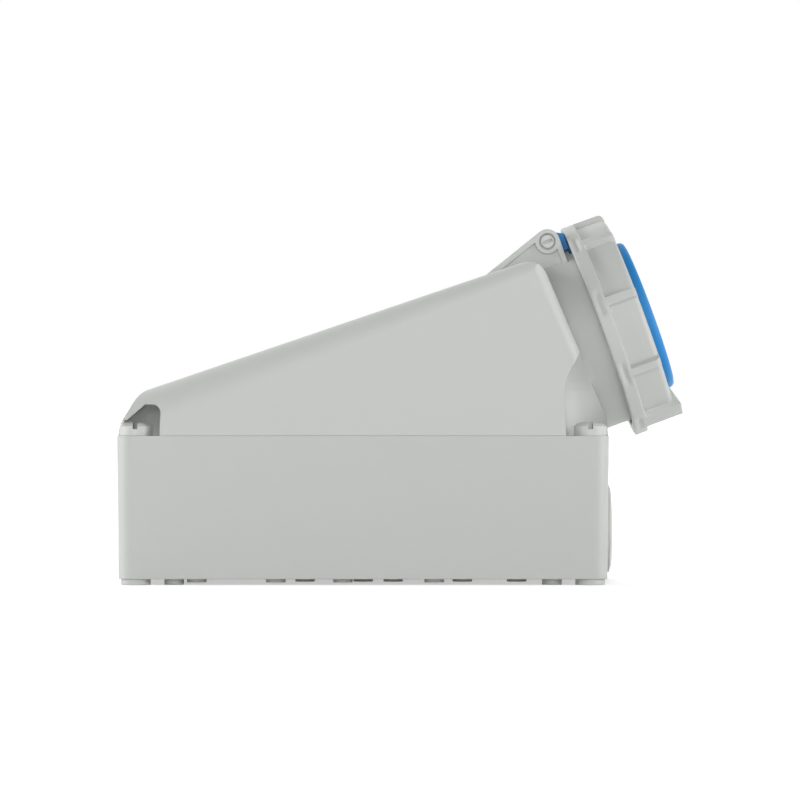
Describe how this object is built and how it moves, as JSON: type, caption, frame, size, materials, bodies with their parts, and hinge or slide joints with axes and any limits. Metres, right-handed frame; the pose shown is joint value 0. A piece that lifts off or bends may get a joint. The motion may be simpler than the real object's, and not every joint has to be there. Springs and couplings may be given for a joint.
{
  "type": "wall socket",
  "caption": "Surface-mounted industrial wall socket: deep housing with a sloping hood, an angled round mouth, a hinged lid and a bayonet locking ring.",
  "frame": {"origin": "centre of the wall fixing pattern, on the wall plane", "axes": "+Z away from the wall, +X along the housing towards the end with the socket mouth"},
  "size_m": [0.2844, 0.13, 0.1859],
  "materials": {
    "housing_grey": "fine satin moulding",
    "ring_grey": "satin moulding",
    "lid_blue": "smooth moulding",
    "screw_grey": "satin moulding",
    "seal_black": "matt",
    "carrier_grey": "matt moulding",
    "contact_brass": "turned",
    "plated_steel": "zinc plated"
  },
  "bodies": {
    "housing": {"back_box": "housing_grey", "housing_gasket": "seal_black", "hood": "housing_grey", "cover_screws": "screw_grey", "screw_inserts": "contact_brass", "entry_plug": "screw_grey", "entry_plug_seal": "seal_black", "hinge_pin": "screw_grey", "hinge_clip": "plated_steel", "contact_carrier": "carrier_grey", "carrier_screws": "plated_steel", "carrier_gasket": "seal_black", "earth_contact": "contact_brass", "line_contact": "contact_brass", "neutral_contact": "contact_brass", "pilot_contact": "contact_brass", "clamp_screws": "plated_steel"},
    "lid": {"lid": "lid_blue", "lid_seal": "seal_black"},
    "ring": {"bayonet_ring": "ring_grey", "ring_clip": "plated_steel"}
  },
  "joints": [
    {"name": "lid_hinge", "type": "hinge", "parent": "housing", "child": "lid", "pos_m": [0.09264, 0, 0.17167], "axis": [0, -1, 0], "range_deg": [0, 110]},
    {"name": "ring_turn", "type": "hinge", "parent": "lid", "child": "ring", "pos_m": [0.1194, 0, 0.1265], "axis": [-0.9397, 0, -0.342], "range_deg": [0, 36]}
  ]
}
